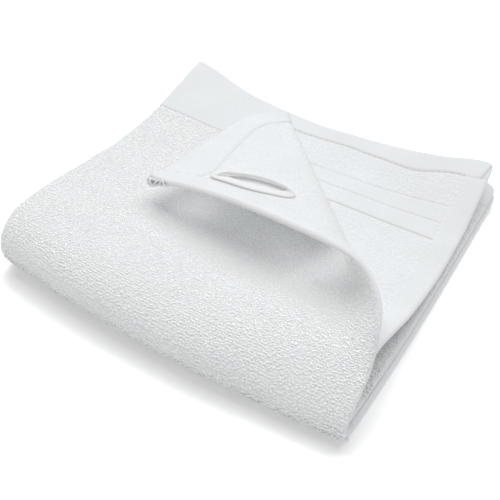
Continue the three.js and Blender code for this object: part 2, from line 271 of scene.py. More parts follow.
def outerX(position, u):  # straight from the left fold to the outer ply's side hem
    fold = alongRows("fold", position) + plyOffset
    share = (u - innerWidth - bendLength) / cloth["outerWidth"]
    return fold + (alongRows("outer", position) - fold) * share


def sheetPoint(position, u):
    # u runs from the inner ply's side hem, round the left fold, to the outer ply's. Straight on
    # each ply, a half circle at the fold: minus cosine across, sine outwards.
    fold = alongRows("fold", position) + plyOffset
    inner = alongRows("inner", position)
    turn = math.pi * (np.clip((u - innerWidth) / bendLength, 0, 1) - 0.5)
    onOuter = u >= innerWidth + bendLength
    x = fold - plyOffset * np.cos(turn)
    x = np.where(u <= innerWidth, inner + (fold - inner) * u / innerWidth, x)
    x = np.where(onOuter, outerX(position, u), x)
    point = laidPoint(position, x, plyOffset * np.sin(turn))
    crown = cloth["crownRow"]
    blend = np.where(onOuter, smoothStep(position, crown, crown + 1), 0)[..., None]
    turned = turnedBack(point[..., 0], pulledY(point[..., 0], point[..., 1]))
    return point * (1 - blend) + turned * blend


def unit(vectors):
    return vectors / np.maximum(np.linalg.norm(vectors, axis=-1, keepdims=True), 1e-9)


# Distance along the cloth for a row position, measured on the middle station
rowTable = np.linspace(0, lastRow, 1301)
rowY, rowZ = foldLine(rowTable, np.zeros_like(rowTable))
lengthTable = np.concatenate([[0], np.cumsum(np.hypot(np.diff(rowY), np.diff(rowZ)))])
fullLength = lengthTable[-1]


def sheetAt(u, v):  # the middle surface at distances across and along the cloth
    return sheetPoint(np.interp(v, lengthTable, rowTable), u)


def gradedLines(length, stretches):  # lines along a length, each stretch with its own spacing
    lines = [0.0]
    for end, spacing in stretches:
        count = max(1, round((end - lines[-1]) / spacing))
        lines.extend(np.linspace(lines[-1], end, count + 1)[1:])
    lines.append(length)
    return np.unique(np.round(lines, 4))


def mirrored(length, stretches):  # the same stretches, counted back from the far end
    ends = [length - end for end, _ in stretches[::-1][1:]] + [length]
    return list(zip(ends, [spacing for _, spacing in stretches[::-1]]))


def linesAt(spacing, *sewnLines):  # close lines at the edge and on each sewn line after it
    stretches = list(lattice["edge"])
    for line in sorted(sewnLines):
        stretches.append((line - lattice["beside"], spacing))
        stretches.append((line + lattice["beside"], lattice["sewn"]))
    return stretches


def sheetLines():  # the distances across and along the cloth at which its lattice has lines
    sideLines = linesAt(lattice["hem"], hems["side"])
    startLines = linesAt(lattice["hem"], hems["start"])
    ends = (hems["endInner"], hems["endOuter"], *hems["bandLines"])
    endLines = linesAt(lattice["border"], *ends)
    past = lattice["bendReach"]
    across = sideLines + [
        (innerWidth - past, lattice["across"]),
        (innerWidth + bendLength + past, lattice["bend"]),
        (fullWidth - sideLines[-1][0], lattice["across"]),
    ]
    along = startLines + [(fullLength - endLines[-1][0], lattice["along"])]
    return (gradedLines(fullWidth, across + mirrored(fullWidth, sideLines)),
            gradedLines(fullLength, along + mirrored(fullLength, endLines)))


columns, rows = sheetLines()
print("cloth lattice", len(rows), "by", len(columns))


def unevenAt(u, v):  # a few long sine waves that cross at odd angles, none where it lies flat
    total = 0
    for length, way, phase in cloth["waves"]:
        place = u * math.cos(way) + v * math.sin(way)
        total = total + np.sin(place * 2 * math.pi / length + phase) * length / 41
    return cloth["unevenness"] * total / 2 * smoothStep(v, *cloth["offFloor"])


def latticeNormals(points):  # the cross product of the steps across and along
    along, across = np.gradient(points, axis=0), np.gradient(points, axis=1)
    return unit(np.cross(across, along))


def roundedCorners(u, v):  # a square corner becomes a quarter circle: x * sqrt(1 - y^2 / 2), y too
    radius = hems["cornerRound"]
    x = np.clip(np.maximum(radius - u, u - fullWidth + radius) / radius, 0, 1)
    y = np.clip(np.maximum(radius - v, v - fullLength + radius) / radius, 0, 1)
    inward = radius * x * (1 - np.sqrt(1 - y * y / 2))
    upward = radius * y * (1 - np.sqrt(1 - x * x / 2))
    return u + np.where(u < radius, inward, -inward), v + np.where(v < radius, upward, -upward)


def openMouth(along):  # 1 where the folded hem is open, by the distance from the end
    _, start, end = hems["mouth"]
    return smoothStep(along, start - 1, start + 1) * (1 - smoothStep(along, end - 3, end))


outermost = lattice["edge"][0][0] / 2  # only the outermost line is nearer the edge


def notched(u, v):  # the outermost line is drawn in near the corners, so the side edge opens there
    by = hems["mouth"][0] * openMouth(np.minimum(v, fullLength - v))
    return u + np.where(u < outermost, by, 0) - np.where(u > fullWidth - outermost, by, 0)


def evened(table, distance):  # the table's value, averaged over a few millimetres
    return sum(np.interp(distance + d, *table) for d in (-3, 0, 3)) / 3


def pulledIn(u, v):
    # Distances along the cloth, less the drawn-in amount of each table: at the edge, at the seam,
    # a smooth step between them and a fade past the seam
    fromEnd, seam = fullLength - v, hems["endInner"]
    place, width, most, fades = drawnIn["roll"]
    toSeam = smoothStep(fromEnd, 0, seam)
    second = evened(drawnIn["edge"], u) * (1 - toSeam) + evened(drawnIn["seam"], u) * toSeam
    second = second * (1 - smoothStep(fromEnd, seam, drawnIn["fades"]))
    turned = evened(drawnIn["turned"], fullWidth - u) * toSeam
    turned = turned * (1 - smoothStep(fromEnd, seam, drawnIn["turnedFades"]))
    behind = most * trough(u - place, width) * (1 - smoothStep(fromEnd, 0, fades))
    return v - np.where(u < innerWidth, second, behind + turned)


def ownBox():  # the box of the plain cloth, before corners are rounded and hems are formed
    points = sheetAt(gridU, gridV)
    out = latticeNormals(points) * cloth["layer"] / 2
    both = np.concatenate([(points - out).reshape(-1, 3), (points + out).reshape(-1, 3)])
    return both.min(0), both.max(0)


gridU, gridV = np.meshgrid(columns, rows)
roundU, roundV = roundedCorners(notched(gridU, gridV), gridV)
low, high = ownBox()
shift = np.array([*(-(low + high) / 2)[:2], -low[2]])
middle = sheetAt(roundU, pulledIn(roundU, roundV)) + shift
normals = latticeNormals(sheetAt(gridU, pulledIn(gridU, gridV)))
acrossDirection = unit(np.gradient(middle, axis=1))
print("shift of the box to the origin", np.round(shift, 2))


def strip(distance, width):  # 1 within a strip's width and 0 past it, with a soft edge
    return 1 - smoothStep(distance, width - hems["softEdge"], width + hems["softEdge"])


def zonesAt(u, v, side):
    # side is 1 on the outer face, -1 on the inner. Zones are strips, sewn lines are troughs
    outerPly = u > innerWidth + bendLength / 2
    fromSide = np.where(outerPly, fullWidth - u, u)
    fromEnd = fullLength - v
    fromEdge = np.minimum(np.minimum(fromSide, v), fromEnd)
    plainEnd = outerPly | (side > 0)
    endHem = hems["endOuter" if side > 0 else "endInner"]

    startHem = strip(v, hems["start"])
    hem = np.maximum(np.maximum(strip(fromSide, hems["side"]), startHem),
                     np.where(plainEnd, 0, strip(fromEnd, hems["endInner"])))
    firstLine, _, lastLine = hems["bandLines"]
    woven = (1 - strip(fromEnd, firstLine)) * strip(fromEnd, lastLine)
    band = np.where(plainEnd, strip(fromEnd, endHem), woven)
    # No loops here; side hems keep theirs on the outer face
    bare = np.maximum(startHem if side > 0 else hem, band)

    overSide = fromSide < hems["side"] + 0.5
    sideLine = trough(fromSide - hems["side"]) * np.where(plainEnd, 1, 1 - hems["sideFaint"])
    endLine = np.where(outerPly & overSide & (side < 0), 0, trough(fromEnd - endHem))
    lines = sum(trough(fromEnd - line) for line in hems["bandLines"]) * ~(plainEnd | overSide)
    groove = sideLine * (side < 0) + trough(v - hems["start"]) + endLine + lines
    groove = np.minimum(groove, 1)

    corner = hems["cornerSeam"]
    first, second = corner["turned" if side < 0 else "under"], corner["second"]
    lineAt, slant = (np.where(outerPly, a, b) for a, b in zip(first, second))
    length = hems["seamLength"]
    seam = trough(fromSide - lineAt - slant * fromEnd) * smoothStep(fromEdge, 0, 0.5)
    seam = seam * (1 - smoothStep(fromEnd, length - 2, length))
    place, radius, depth = hems["pinch"]
    pinched = trough(np.hypot(fromSide - place, fromEnd - place), radius) * outerPly
    swell = trough(np.hypot(fromSide, np.minimum(v, fromEnd)), hems["cornerReach"]) * outerPly
    inMouth = openMouth(fromEnd) * (fromSide < outermost) * outerPly

    # Painted shade in the sewn lines, the corner seam, the last stitch and the hem's open mouth
    shade = hems["shade"]
    crevice = shade["groove"] * groove + shade["seam"] * seam + shade["pinch"] * pinched
    crevice = np.clip(crevice + shade["mouth"][side] * inMouth, 0, 1)
    groove = groove + seam * hems["seamDepth"] + pinched * depth / hems["grooveDepth"]
    return {"hem": hem, "band": band * (1 - hem), "bare": bare, "groove": groove,
            "fromEdge": fromEdge, "swell": swell, "crevice": crevice}


def halfThickness(u, v, side):
    # The ground weave, thicker at hems and bands, hollowed at sewn lines, and a quarter circle at
    # the edges: sqrt(1 - (1 - near)^2)
    zone = zonesAt(u, v, side)
    ground = hems["groundHalf"]
    half = ground + (hems["hemHalf"] - ground) * zone["hem"]
    half = half + (hems["bandHalf"] - ground) * zone["band"] - hems["grooveDepth"] * zone["groove"]
    half = half + hems["cornerSwell"][side] * zone["swell"] * smoothStep(v, *cloth["offFloor"])
    near = np.clip(zone["fromEdge"] / hems["edgeRound"], 0, 1)
    return half * np.sqrt(1 - (1 - near) ** 2)


def addNode(tree, kind, links=(), **settings):  # settings, and links as (input, another's output)
    node = tree.nodes.new("ShaderNode" + kind)
    for name, value in settings.items():
        if name.startswith("in_"):
            key = name[3:].replace("_", " ")
            node.inputs[int(key) if key.isdigit() else key].default_value = value
        else:
            setattr(node, name, value)
    for name, output in links:
        tree.links.new(output, node.inputs[name])
    return node


def linearColour(code):  # sRGB hex to linear
    parts = [int(code[i:i + 2], 16) / 255 for i in (1, 3, 5)]
    return tuple(p / 12.92 if p <= 0.04045 else ((p + 0.055) / 1.055) ** 2.4 for p in parts) + (1,)


def startMaterial(name, **sockets):  # a new material, with its shader's own sockets set
    material = bpy.data.materials.new(name)
    material.use_nodes = True
    tree = material.node_tree
    shader = tree.nodes["Principled BSDF"]
    for socket, value in sockets.items():
        shader.inputs[socket.replace("_", " ")].default_value = value
    return material, tree, shader


def setRamp(ramp, codes):
    for element, code in zip(ramp.color_ramp.elements, codes):
        element.color = linearColour(code)


def ribScale(pitch):  # Wave texture's scale for ribs so many mm apart, on the map of the cut
    return cloth["flat"] / pitch * 2 * math.pi / 20


cutMap = "placeOnCut"  # a UV map whose unit is the side of the cut
terry = {
    "colours": ("#e7edf0", "#f6f6f4"),  # cool white of the inner face, plain white of the outer
}
hemCloth = {
    "colours": ("#d7dadc", "#e0e3e5"),
    # grey of the painted shade in sewn lines, seams and the open mouth
    "creviceColour": "#6d7072",
    "weftPitch": 1.1,  # mm between ribs
    "warpPitch": 0.9,
    "loop": 1.3 * mm,  # pressed loops on faces where none stand as tubes
    "pushed": 1.2 * mm,  # how far they stand out of line
}
twill = {
    "colours": ("#bec1c2", "#cacccd"),
    "ribPitch": 0.9,
    "slant": 0.7,
    # painted glow of the tape, standing in for light that comes through it
    "paintedGlow": 0.21,
}


def terryYarn():
    # Bleached cotton yarn of the loop pile: matt and fluffy, each loop a touch lighter or darker
    material, tree, shader = startMaterial(
        "bleached_cotton_terry", Roughness=0.93, Specular_IOR_Level=0.25)
    tone = addNode(tree, "Attribute", attribute_name="yarnTone")
    colour = addNode(tree, "ValToRGB", [("Fac", tone.outputs["Fac"])])
    setRamp(colour, terry["colours"])
    place = addNode(tree, "TexCoord")
    fibres = addNode(tree, "TexNoise", [("Vector", place.outputs["Object"])],
                     in_Scale=2600, in_Detail=3, in_Roughness=0.7)
    fuzz = addNode(tree, "Bump", [("Height", fibres.outputs["Fac"])],
                   in_Strength=0.3, in_Distance=0.1 * mm)
    tree.links.new(colour.outputs["Color"], shader.inputs["Base Color"])
    tree.links.new(fuzz.outputs["Normal"], shader.inputs["Normal"])
    return material


def wovenGround():
    # Flat-woven cotton of hems, borders and the ground under the pile: fine ribs, matt, a little
    # cooler than the loops, and painted grey as shade in the sewn lines, corner seams and open mouth
    material, tree, shader = startMaterial(
        "flat_woven_cotton_hem", Roughness=0.9, Sheen_Weight=0.1, Specular_IOR_Level=0.25)
    onCut = addNode(tree, "UVMap", uv_map=cutMap).outputs["UV"]
    place = addNode(tree, "TexCoord").outputs["Object"]
    ribs = []
    for way, pitch in (("Y", hemCloth["weftPitch"]), ("X", hemCloth["warpPitch"])):
        rib = addNode(tree, "TexWave", [("Vector", onCut)], bands_direction=way,
                      in_Scale=ribScale(pitch), in_Distortion=0.6, in_Detail=1, in_Detail_Scale=3.0)
        ribs.append(rib.outputs["Fac"])
    fluff = addNode(tree, "TexNoise", [("Vector", place)], in_Scale=1400, in_Detail=4, in_Roughness=0.65)
    cross = addNode(tree, "Math", [(0, ribs[0]), (1, ribs[1])], operation="ADD")
    smooth = addNode(tree, "Math", [(0, cross.outputs[0]), (1, fluff.outputs["Fac"])],
                     operation="ADD")
    bends = addNode(tree, "TexNoise", [("Vector", place)], in_Scale=500, in_Detail=1)
    pushed = addNode(tree, "VectorMath", [(0, bends.outputs["Color"])],
                     operation="SCALE", in_Scale=hemCloth["pushed"])
    moved = addNode(tree, "VectorMath", [(0, place), (1, pushed.outputs[0])], operation="ADD")
    loops = addNode(tree, "TexVoronoi", [("Vector", moved.outputs[0])], in_Scale=1 / hemCloth["loop"])
    raised = addNode(tree, "Math", [(0, loops.outputs["Distance"])], operation="MULTIPLY", in_1=-5)
    looped = addNode(tree, "Attribute", attribute_name="loopedPart")
    both = [("Factor", looped.outputs["Fac"]), ("A", smooth.outputs[0]), ("B", raised.outputs[0])]
    relief = addNode(tree, "Mix", both)
    raisedWeave = addNode(tree, "Bump", [("Height", relief.outputs[0])],
                          in_Strength=0.4, in_Distance=0.18 * mm)
    clouds = addNode(tree, "TexNoise", [("Vector", place)], in_Scale=60, in_Detail=2)
    colour = addNode(tree, "ValToRGB", [("Fac", clouds.outputs["Fac"])])
    setRamp(colour, hemCloth["colours"])
    # Painted shade: the colour is mixed towards grey where a sewn line, seam or the open mouth lies
    crevice = addNode(tree, "Attribute", attribute_name="crevice")
    shaded = addNode(tree, "Mix", [(0, crevice.outputs["Fac"]), (6, colour.outputs["Color"])],
                     data_type="RGBA", in_7=linearColour(hemCloth["creviceColour"]))
    tree.links.new(shaded.outputs[2], shader.inputs["Base Color"])
    tree.links.new(raisedWeave.outputs["Normal"], shader.inputs["Normal"])
    return material


def tapeWeave():
    # Narrow cotton twill of the hanging loop: smoother than the towelling, with fine slanting
    # ribs. Its emission is a painted glow, standing in for the light that comes through the thin tape
    material, tree, shader = startMaterial(
        "cotton_twill_tape", Roughness=0.75, Specular_IOR_Level=0.3,
        Emission_Color=(1, 1, 1, 1), Emission_Strength=twill["paintedGlow"])
    place = addNode(tree, "UVMap", uv_map=cutMap)
    turned = addNode(tree, "Mapping", [("Vector", place.outputs["UV"])],
                     in_Rotation=(0, 0, twill["slant"]))
    rib = addNode(tree, "TexWave", [("Vector", turned.outputs["Vector"])],
                  in_Scale=ribScale(twill["ribPitch"]), in_Distortion=0.4)
    raised = addNode(tree, "Bump", [("Height", rib.outputs["Fac"])],
                     in_Strength=0.4, in_Distance=0.15 * mm)
    colour = addNode(tree, "ValToRGB", [("Fac", rib.outputs["Fac"])])
    setRamp(colour, twill["colours"])
    tree.links.new(colour.outputs["Color"], shader.inputs["Base Color"])
    tree.links.new(raised.outputs["Normal"], shader.inputs["Normal"])
    return material


materials = {"terry": terryYarn(), "hem": wovenGround(), "tape": tapeWeave()}


def meshObject(name, points, faces, material, uv=None, **values):
    # Points in millimetres, faces as one or more arrays, and values with one number a point
    mesh = bpy.data.meshes.new(name)
    faceLists = faces if isinstance(faces, list) else [faces]
    corners = np.concatenate([f.reshape(-1) for f in faceLists]).astype(np.int32)
    sizes = np.concatenate([np.full(len(f), f.shape[1]) for f in faceLists]).astype(np.int32)
    mesh.vertices.add(len(points))
    mesh.vertices.foreach_set("co", (points * mm).astype(np.float32).reshape(-1))
    mesh.loops.add(len(corners))
    mesh.loops.foreach_set("vertex_index", corners)
    mesh.polygons.add(len(sizes))
    starts = np.concatenate([[0], np.cumsum(sizes)[:-1]])
    mesh.polygons.foreach_set("loop_start", starts.astype(np.int32))
    mesh.polygons.foreach_set("loop_total", sizes)
    mesh.polygons.foreach_set("use_smooth", np.ones(len(sizes), bool))
    if uv is not None:
        layer = mesh.uv_layers.new(name=cutMap)
        layer.data.foreach_set("uv", uv[corners].astype(np.float32).reshape(-1))
    for valueName, value in values.items():
        attribute = mesh.attributes.new(valueName, "FLOAT", "POINT")
        attribute.data.foreach_set("value", value.astype(np.float32))
    mesh.update(calc_edges=True)
    mesh.validate()
    mesh.materials.append(material)
    piece = bpy.data.objects.new(name, mesh)
    bpy.context.scene.collection.objects.link(piece)
    return piece


def gridFaces(rowCount, columnCount, start=0, flip=False):
    r, c = np.meshgrid(np.arange(rowCount - 1), np.arange(columnCount - 1), indexing="ij")
    a = start + (r * columnCount + c).reshape(-1)
    quads = np.stack([a, a + 1, a + columnCount + 1, a + columnCount], 1)
    return quads[:, ::-1] if flip else quads


turnedOver = [0, 3, 2, 1]  # a quad's corners the other way round


def tubeFaces(steps, sides, closed=False):  # quads between a tube's rings, in order of its steps
    k, s = np.meshgrid(np.arange(steps), np.arange(sides), indexing="ij")
    nextK = (k + 1) % steps if closed else k + 1
    nextS = (s + 1) % sides
    corners = (k * sides + s, k * sides + nextS, nextK * sides + nextS, nextK * sides + s)
    return np.stack([corner.reshape(-1) for corner in corners], 1)


def clothPiece():
    # Both faces stand half a thickness off the middle surface along its normal, closed by a rim
    lifted = middle + normals * unevenAt(gridU, gridV)[..., None]
    outside = lifted + normals * halfThickness(gridU, gridV, 1)[..., None]
    inside = lifted - normals * halfThickness(gridU, gridV, -1)[..., None]
    rowCount, columnCount = gridU.shape
    total = rowCount * columnCount
    ids = np.arange(total).reshape(rowCount, columnCount)
    rim = np.concatenate([ids[0, :-1], ids[:-1, -1], ids[-1, :0:-1], ids[:0:-1, 0]])
    after = np.roll(rim, -1)
    faces = np.concatenate([
        gridFaces(rowCount, columnCount),
        gridFaces(rowCount, columnCount, total, True),
        np.stack([rim, rim + total, after + total, after], 1),
    ])
    points = np.concatenate([outside.reshape(-1, 3), inside.reshape(-1, 3)])
    uv = np.tile(np.stack([gridU, gridV], -1).reshape(-1, 2) / cloth["flat"], (2, 1))
    zones = [zonesAt(gridU, gridV, side) for side in (1, -1)]
    return meshObject(
        "cloth_sheet", points, faces, materials["hem"], uv=uv,
        loopedPart=np.concatenate([(1 - zone["bare"]).reshape(-1) for zone in zones]),
        # painted shade of the sewn lines, seams and open mouth, one number a point
        crevice=np.concatenate([zone["crevice"].reshape(-1) for zone in zones]))


def onSheet(values, u, v):  # the lattice's values at any place, straight between its lines
    shape = np.shape(u)
    u, v = np.reshape(u, -1), np.reshape(v, -1)
    col = np.clip(np.interp(u, columns, np.arange(len(columns))), 0, len(columns) - 1.001)
    row = np.clip(np.interp(v, rows, np.arange(len(rows))), 0, len(rows) - 1.001)
    c, r = col.astype(int), row.astype(int)
    fc, fr = (col - c)[:, None], (row - r)[:, None]
    top = values[r, c] * (1 - fc) + values[r, c + 1] * fc
    low = values[r + 1, c] * (1 - fc) + values[r + 1, c + 1] * fc
    return (top * (1 - fr) + low * fr).reshape(*shape, 3)


pile = {
    "pitch": 0.94,  # between loops
    "jitter": (0.42, 0.27),  # across and along, as shares of the pitch
    "edge": {1: 0.9, -1: 2},  # how near the edge, on outer and inner face
    "width": (0.75, 1.3),
    "height": (0.18, 0.38),  # pressed down where the cloth lies flat
    "openHeight": (0.55, 1.3),  # and stood up where it bends round the front fold
    "openRows": (2.2, 2.9, 4.0, 5.7),
    "yarn": (0.32, 0.43),  # radius of the yarn, fluff included
    "thinFeet": 0.25,  # by how much
    "lean": 0.9,
    "leanShrink": 0.55,
    "skew": 0.45,
    "alongRow": 0.6,  # how far the loops keep to the direction of the weft
    "inner": 0.36,  # height of the loops on the inner face, as a share
    "sunk": {-1: 0.42, 1: 0.28},  # how deep their feet stand in the ground weave
    "lowest": 0.05,  # nothing is nearer the floor
    "steps": 3,
    "sides": 3,
    "tone": {1: (0.4, 1), -1: (0, 0.5)},  # from cool to plain white
    "mostInPiece": 9600,
    "fromRow": 3,  # no loops show under it
    "between": 16,  # how deep they stand between the layers
    "margin": 0.02,  # past the roll's first line, in radians
}


def loopPlaces(side):  # a jittered lattice of places on one face
    pitch = pile["pitch"]
    u = np.arange(pitch / 2, fullWidth, pitch)
    v = np.arange(pitch / 2, fullLength, pitch)
    u, v = np.meshgrid(u, v)
    u = u + pitch / 2 * (np.round(v / pitch - 0.5) % 2)
    acrossBy, alongBy = pile["jitter"]
    u = (u + dice.uniform(-acrossBy, acrossBy, u.shape) * pitch).reshape(-1)
    v = (v + dice.uniform(-alongBy, alongBy, v.shape) * pitch).reshape(-1)
    zone = zonesAt(u, v, side)
    clear = (zone["bare"] < 0.05) & (zone["groove"] < 0.25) & (u < fullWidth) & (v < fullLength)
    clear &= zone["fromEdge"] > pile["edge"][side]
    return u[clear], v[clear]


def openPile(v):  # 1 round the front fold, 0 on the flat layers
    start, low, high, end = (np.interp(row, rowTable, lengthTable) for row in pile["openRows"])
    return smoothStep(v, start, low) * (1 - smoothStep(v, high, end))


def terryLoops(name, u, v, side):
    # Each loop is a closed tube on an arch, minus cosine along and sine to the 0.8 up, that leans
    # aside by the square of its height and is skewed along
    count, steps, sides = len(u), pile["steps"], pile["sides"]
    outward = unit(onSheet(normals, u, v))
    normal = outward * side
    across = unit(onSheet(acrossDirection, u, v))
    lift = (halfThickness(u, v, side) - pile["sunk"][side])[:, None]
    base = onSheet(middle, u, v) + outward * unevenAt(u, v)[:, None] + normal * lift
    facing = dice.normal(0, pile["alongRow"], count)[:, None]
    cos, sin = np.cos(facing), np.sin(facing)
    ahead = unit(across - normal * np.sum(across * normal, -1, keepdims=True))
    beside = np.cross(normal, ahead)
    ahead, beside = ahead * cos + beside * sin, beside * cos - ahead * sin
    width = dice.uniform(*pile["width"], count)[:, None]
    low, high = (np.array(pile[key])[:, None] for key in ("height", "openHeight"))
    least, most = low + (high - low) * openPile(v)
    height = (least + (most - least) * dice.uniform(0, 1, count))[:, None]
    height = height * (1 if side > 0 else pile["inner"])
    lean = dice.normal(0, pile["lean"], count)[:, None]
    skew = dice.normal(0, pile["skew"], count)[:, None]
    yarn = dice.uniform(*pile["yarn"], count)[:, None]
    turn = np.linspace(0, math.pi, steps + 1)[None]
    up = np.sin(turn) ** 0.8 * height
    along = -np.cos(turn) * width / 2 + skew * up
    shrink = 1 / np.sqrt(1 + lean**2 * pile["leanShrink"])
    aside = lean * up * up / height * shrink
    path = base[:, None] + ahead[:, None] * along[..., None]
    path = path + beside[:, None] * aside[..., None] + normal[:, None] * (up * shrink)[..., None]
    tangent = unit(np.gradient(path, axis=1))
    first = unit(np.cross(tangent, beside[:, None] + 0 * tangent))
    second = np.cross(tangent, first)
    angle = 2 * math.pi * (np.arange(sides) + 0.5) / sides
    thin = pile["thinFeet"]
    thick = (yarn * (1 - thin + thin * np.sin(turn)))[..., None, None]
    ring = first[:, :, None] * np.cos(angle)[:, None] + second[:, :, None] * np.sin(angle)[:, None]
    points = (path[:, :, None] + ring * thick).reshape(-1, 3)
    points[:, 2] = np.maximum(points[:, 2], pile["lowest"])
    ends = np.array([[2, 1, 0], np.arange(3) + steps * sides])
    each = (steps + 1) * sides
    starts = (np.arange(count) * each)[:, None, None]
    faces = [(tubeFaces(steps, sides)[None] + starts).reshape(-1, 4),
             (ends[None] + starts).reshape(-1, 3)]
    tone = np.repeat(dice.uniform(*pile["tone"][side], count), each)
    return meshObject(name, points, faces, materials["terry"], yarnTone=tone)


def rollTurn(u, v):  # how far round the cone a place of the top layer lies
    position = np.interp(pulledIn(u, v), lengthTable, rowTable)
    x = outerX(position, u)
    return turnOf(x, pulledY(x, laidPoint(position, x, plyOffset)[..., 1]))


def makePile():  # loops on the faces that show: outside, between, rolled over, and under the roll
    crown = np.interp(cloth["crownRow"], rowTable, lengthTable)
    start = np.interp(pile["fromRow"], rowTable, lengthTable)
    u, v = loopPlaces(1)
    outerPly = u > innerWidth - 2
    shownOuter = outerPly & (v > start)
    between = ~outerPly & (u < pile["between"])
    sets = {
        "pile_outside": (u[shownOuter], v[shownOuter], 1),
        "pile_between": (u[between], v[between], 1),
    }
    u, v = loopPlaces(-1)
    upper = v > crown
    rolled = (u > innerWidth + bendLength) & upper & (rollTurn(u, v) > -pile["margin"])
    place = onSheet(middle, u, v) - shift
    shown = (u < innerWidth) & upper & (turnOf(place[:, 0], place[:, 1]) > -pile["margin"])
    sets["pile_turned_back"] = (u[rolled], v[rolled], -1)
    sets["pile_second_layer"] = (u[shown], v[shown], -1)
    pieces = []
    for name, (u, v, side) in sets.items():
        parts = max(1, math.ceil(len(u) / pile["mostInPiece"]))
        for i, chosen in enumerate(np.array_split(np.arange(len(u)), parts)):
            pieces.append(terryLoops(f"{name}_{i + 1}", u[chosen], v[chosen], side))
        print(name, len(u), "loops in", parts, "pieces")
    return pieces


stitch = {
    "pitch": 2.7,
    "length": 2.2,
    "radius": 0.16,
    "bow": 0.1,
    "dips": 1.6,  # how steeply its ends go down
    "clear": 3,  # of the cloth's corners
    "points": 5,
    "tone": 0.35,
    "corner": (0.8, 2.5, 3.3, 5.6, 8.2, 9.9),  # oversewn threads, from the end
    "cornerSlant": (0.1, 1.2, -0.4, 1.5, 0.7, -0.9),
    "cornerInset": 1.2,
    "cornerRadius": 0.3,
    "cornerProud": (0.15, 0.05),  # past the edge, and over the faces
}


def threads(path, normal, radius):  # tubes of four sides along many paths, half as thick at ends
    count, steps = path.shape[:2]
    tangent = unit(np.gradient(path, axis=1))
    aside = unit(np.cross(tangent, normal))
    above = np.cross(aside, tangent)
    angle = 2 * math.pi * (np.arange(4) + 0.5) / 4
    taper = np.where(np.isin(np.arange(steps), (0, steps - 1)), 0.5, 1)[None, :, None, None]
    ring = aside[:, :, None] * np.cos(angle)[:, None] + above[:, :, None] * np.sin(angle)[:, None]
    last = (steps - 1) * 4
    ends = [[0, 1, 2, 3], [last + 3, last + 2, last + 1, last]]
    one = np.concatenate([tubeFaces(steps - 1, 4)[:, turnedOver], ends])
    quads = (one[None] + (np.arange(count) * steps * 4)[:, None, None]).reshape(-1, 4)
    return (path[:, :, None] + ring * radius * taper).reshape(-1, 3), quads


def cornerThreads():
    # Oversewing of the hem's open end: each thread is a half circle round the side edge, cosine
    # outwards and sine up, from one face to the other, and slants by the sine too
    turn = np.radians(np.linspace(-80, 80, 9))[None]
    places = np.array(stitch["corner"])[:, None]
    slant = np.array(stitch["cornerSlant"])[:, None]
    inset = stitch["cornerInset"]
    pastEdge, overFace = stitch["cornerProud"]
    v = fullLength - places + slant * np.sin(turn)
    u = np.full_like(v, fullWidth - inset)
    out, up = (unit(onSheet(values, u, v)) for values in (acrossDirection, normals))
    reach = overFace + np.where(turn > 0, halfThickness(u, v, 1), halfThickness(u, v, -1))
    path = onSheet(middle, u, v) + out * ((inset + pastEdge) * np.cos(turn))[..., None]
    path = path + up * (reach * np.sin(turn))[..., None]
    facing = out * np.cos(turn)[..., None] + up * np.sin(turn)[..., None]
    return threads(path, facing, stitch["cornerRadius"])


def stitchLines():  # places across and along, the face, and whether the line runs along
    side, clear = hems["side"], stitch["clear"]
    down = np.arange(clear, fullLength - clear, stitch["pitch"])
    over = np.arange(clear, fullWidth - clear, stitch["pitch"])
    inner = over[over < fullWidth - side]
    lines = [(np.full_like(down, u), down, -1, True) for u in (side, fullWidth - side)]
    ends = [(fullLength - hems["endInner"], inner, -1), (fullLength - hems["endOuter"], over, 1),
            (hems["start"], over, 1), (hems["start"], over, -1)]
    return lines + [(u, np.full_like(u, v), face, False) for v, u, face in ends]


def stitchPiece():
    # Each stitch is a short thread bowed by a parabola, whose ends dip into the cloth
    parts = []
    step = np.linspace(-0.5, 0.5, stitch["points"])[None] * stitch["length"]
    rise = stitch["bow"] * (1 - (2 * step / stitch["length"]) ** 2 * stitch["dips"])
    for u, v, side, down in stitchLines():
        u = u[:, None] + step * (not down)
        v = v[:, None] + step * down
        outward = unit(onSheet(normals, u, v))
        lift = unevenAt(u, v) + (halfThickness(u, v, side) + rise) * side
        path = onSheet(middle, u, v) + outward * lift[..., None]
        parts.append(threads(path, outward * side, stitch["radius"]))
    parts.append(cornerThreads())
    starts = np.concatenate([[0], np.cumsum([len(points) for points, _ in parts])])
    points = np.concatenate([points for points, _ in parts])
    quads = np.concatenate([quads + start for (_, quads), start in zip(parts, starts)])
    tone = np.full(len(points), stitch["tone"])
    return meshObject("hem_stitches", points, quads, materials["terry"], yarnTone=tone)


tape = {
    "fromSide": 12,
    "fromEnd": 28,
    "length": 30.5,
    "hole": 3.4,
    "turn": -1.79,  # the way that it points, in radians
    "width": 3.8,
    "thickness": 0.7,
    "squareness": 0.55,  # of its section: 1 is an ellipse, 0 a rectangle
    "twist": -0.7,
    "twists": (0.36, 0.6, 0.86, 1.0),  # where along its path the twist starts, is full, and ends
    "fullness": (0.1, 1.15, 0.6),  # of the drop at the sewn end, at its widest, and from where
    "clear": -0.1,  # of the cloth: sewn down a little into it
    "steps": 160,
    "sides": 14,
    "uvSize": (0.3, 0.04),
}


